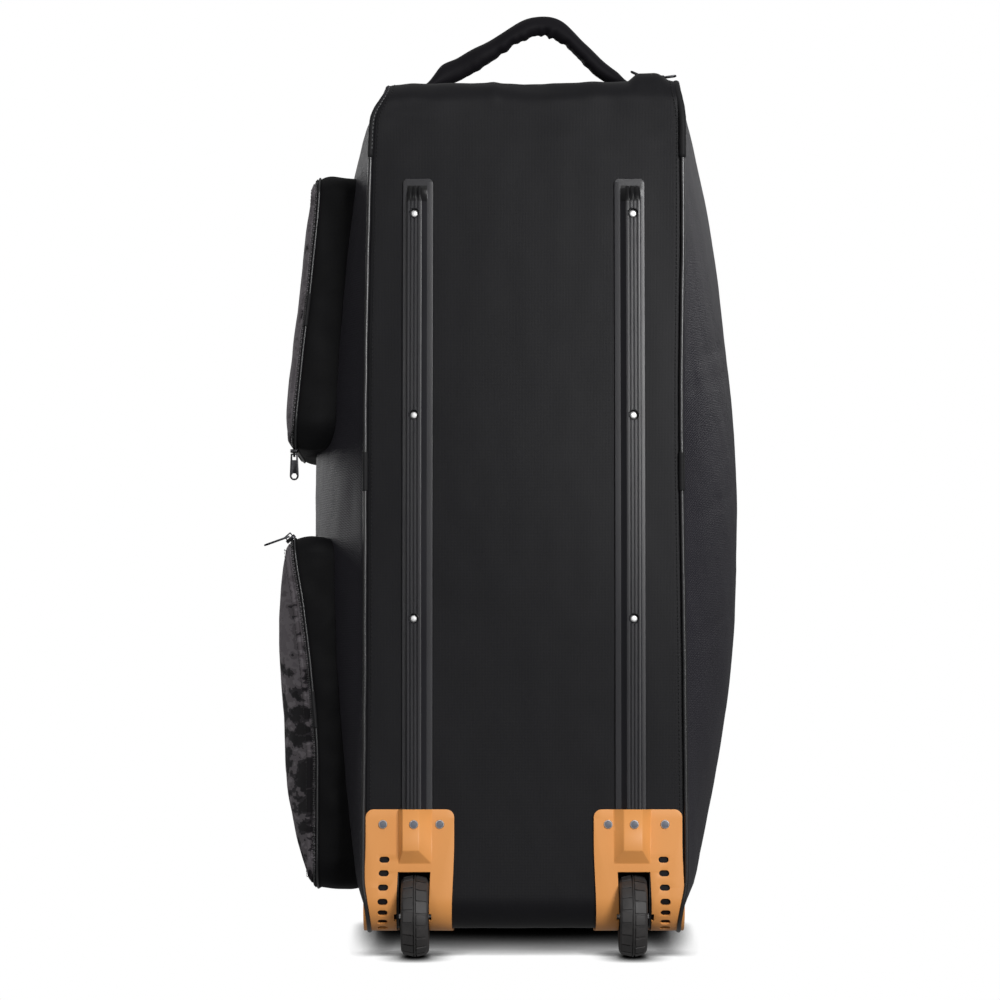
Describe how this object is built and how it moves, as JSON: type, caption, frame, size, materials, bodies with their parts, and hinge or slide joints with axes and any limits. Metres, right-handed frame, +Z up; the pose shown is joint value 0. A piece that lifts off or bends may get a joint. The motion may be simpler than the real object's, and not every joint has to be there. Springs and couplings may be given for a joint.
{
  "type": "wheeled kit bag",
  "caption": "Tall upright cloth kit bag with skid rails, wheels in corner plates, side pockets, zips and a padded carry handle.",
  "frame": {"origin": "middle of the outer box's foot, on the ground that the bag stands on", "axes": "+Z up along the bag's height, +X along the axles to the right of the back panel, +Y from the back panel towards the lid"},
  "size_m": [0.5268, 0.4508, 1.0322],
  "materials": {
    "back_cloth": "fine black canvas",
    "side_cloth": "dark grey diagonal twill with a slight sheen",
    "gusset_cloth": "black canvas",
    "camouflage_cloth": "twill printed with charcoal, grey and brown-grey blotches",
    "piping": "coated cord piping, satin",
    "sleeve_cloth": "woven binding tape",
    "rail_plastic": "dark grey, satin, with fine ribs",
    "orange_plastic": "light orange, satin",
    "rivet_steel": "bright domed heads",
    "axle_steel": "plain turned",
    "cup_plastic": "black",
    "hub_plastic": "black",
    "tyre_rubber": "matt with a moulded tread",
    "zip_tape": "black woven tape with coil teeth",
    "zip_metal": "black enamel, satin"
  },
  "bodies": {
    "bag": {"back_panel": "back_cloth", "upper_end": "back_cloth", "lower_end": "back_cloth", "lid": "side_cloth", "side_panel_left": "side_cloth", "side_panel_right": "side_cloth", "piping_left": "piping", "piping_right": "piping", "top_sleeve_left": "sleeve_cloth", "middle_sleeve_left": "sleeve_cloth", "top_sleeve_right": "sleeve_cloth", "middle_sleeve_right": "sleeve_cloth", "rail_left": "rail_plastic", "rail_right": "rail_plastic", "rail_rivet_left_1": "rivet_steel", "rail_rivet_left_2": "rivet_steel", "rail_rivet_left_3": "rivet_steel", "plate_rivet_left_1": "rivet_steel", "plate_rivet_left_2": "rivet_steel", "plate_rivet_left_3": "rivet_steel", "rail_rivet_right_1": "rivet_steel", "rail_rivet_right_2": "rivet_steel", "rail_rivet_right_3": "rivet_steel", "plate_rivet_right_1": "rivet_steel", "plate_rivet_right_2": "rivet_steel", "plate_rivet_right_3": "rivet_steel", "corner_plate_left": "orange_plastic", "corner_plate_right": "orange_plastic", "wheel_cup_left": "cup_plastic", "wheel_cup_right": "cup_plastic", "axle_left": "axle_steel", "axle_right": "axle_steel", "carry_handle": "gusset_cloth", "upper_pocket_gusset": "gusset_cloth", "lower_pocket_gusset": "gusset_cloth", "upper_pocket_face": "camouflage_cloth", "lower_pocket_face": "camouflage_cloth", "upper_pocket_zip": "zip_tape", "lower_pocket_zip": "zip_tape", "top_zip": "zip_tape", "lid_zip": "zip_tape", "upper_pocket_slider": "zip_metal", "lower_pocket_slider": "zip_metal", "top_inner_slider": "zip_metal", "top_outer_slider": "zip_metal", "lid_slider": "zip_metal"},
    "wheel_left": {"hub_left": "hub_plastic", "tyre_left": "tyre_rubber"},
    "wheel_right": {"hub_right": "hub_plastic", "tyre_right": "tyre_rubber"},
    "upper_pocket_pull": {"upper_pocket_pull": "zip_metal"},
    "lower_pocket_pull": {"lower_pocket_pull": "zip_metal"},
    "top_inner_pull": {"top_inner_pull": "zip_metal"},
    "top_outer_pull": {"top_outer_pull": "zip_metal"},
    "lid_pull": {"lid_pull": "zip_metal"}
  },
  "joints": [
    {"name": "wheel_spin_left", "type": "hinge", "parent": "bag", "child": "wheel_left", "pos_m": [-0.09435, -0.18156, 0.04388], "axis": [1, 0, 0], "continuous": true},
    {"name": "wheel_spin_right", "type": "hinge", "parent": "bag", "child": "wheel_right", "pos_m": [0.13965, -0.18156, 0.04388], "axis": [1, 0, 0], "continuous": true},
    {"name": "upper_pocket_pull_swing", "type": "hinge", "parent": "bag", "child": "upper_pocket_pull", "pos_m": [-0.23101, -0.06249, 0.54165], "axis": [1, 0, 0], "range_deg": [-40, 40]},
    {"name": "lower_pocket_pull_swing", "type": "hinge", "parent": "bag", "child": "lower_pocket_pull", "pos_m": [-0.23582, -0.08327, 0.45061], "axis": [0, 0.9973, -0.0738], "range_deg": [0, 60]},
    {"name": "top_inner_pull_swing", "type": "hinge", "parent": "bag", "child": "top_inner_pull", "pos_m": [0.15844, -0.07408, 0.9569], "axis": [-0.0003, 0.9989, -0.0475], "range_deg": [0, 60]},
    {"name": "top_outer_pull_swing", "type": "hinge", "parent": "bag", "child": "top_outer_pull", "pos_m": [0.17391, -0.07398, 0.95709], "axis": [0.0002, -0.9983, 0.059], "range_deg": [0, 60]},
    {"name": "lid_pull_swing", "type": "hinge", "parent": "bag", "child": "lid_pull", "pos_m": [0.16892, 0.20456, 0.49212], "axis": [0.974, -0.2259, 0.0162], "range_deg": [0, 60]}
  ]
}
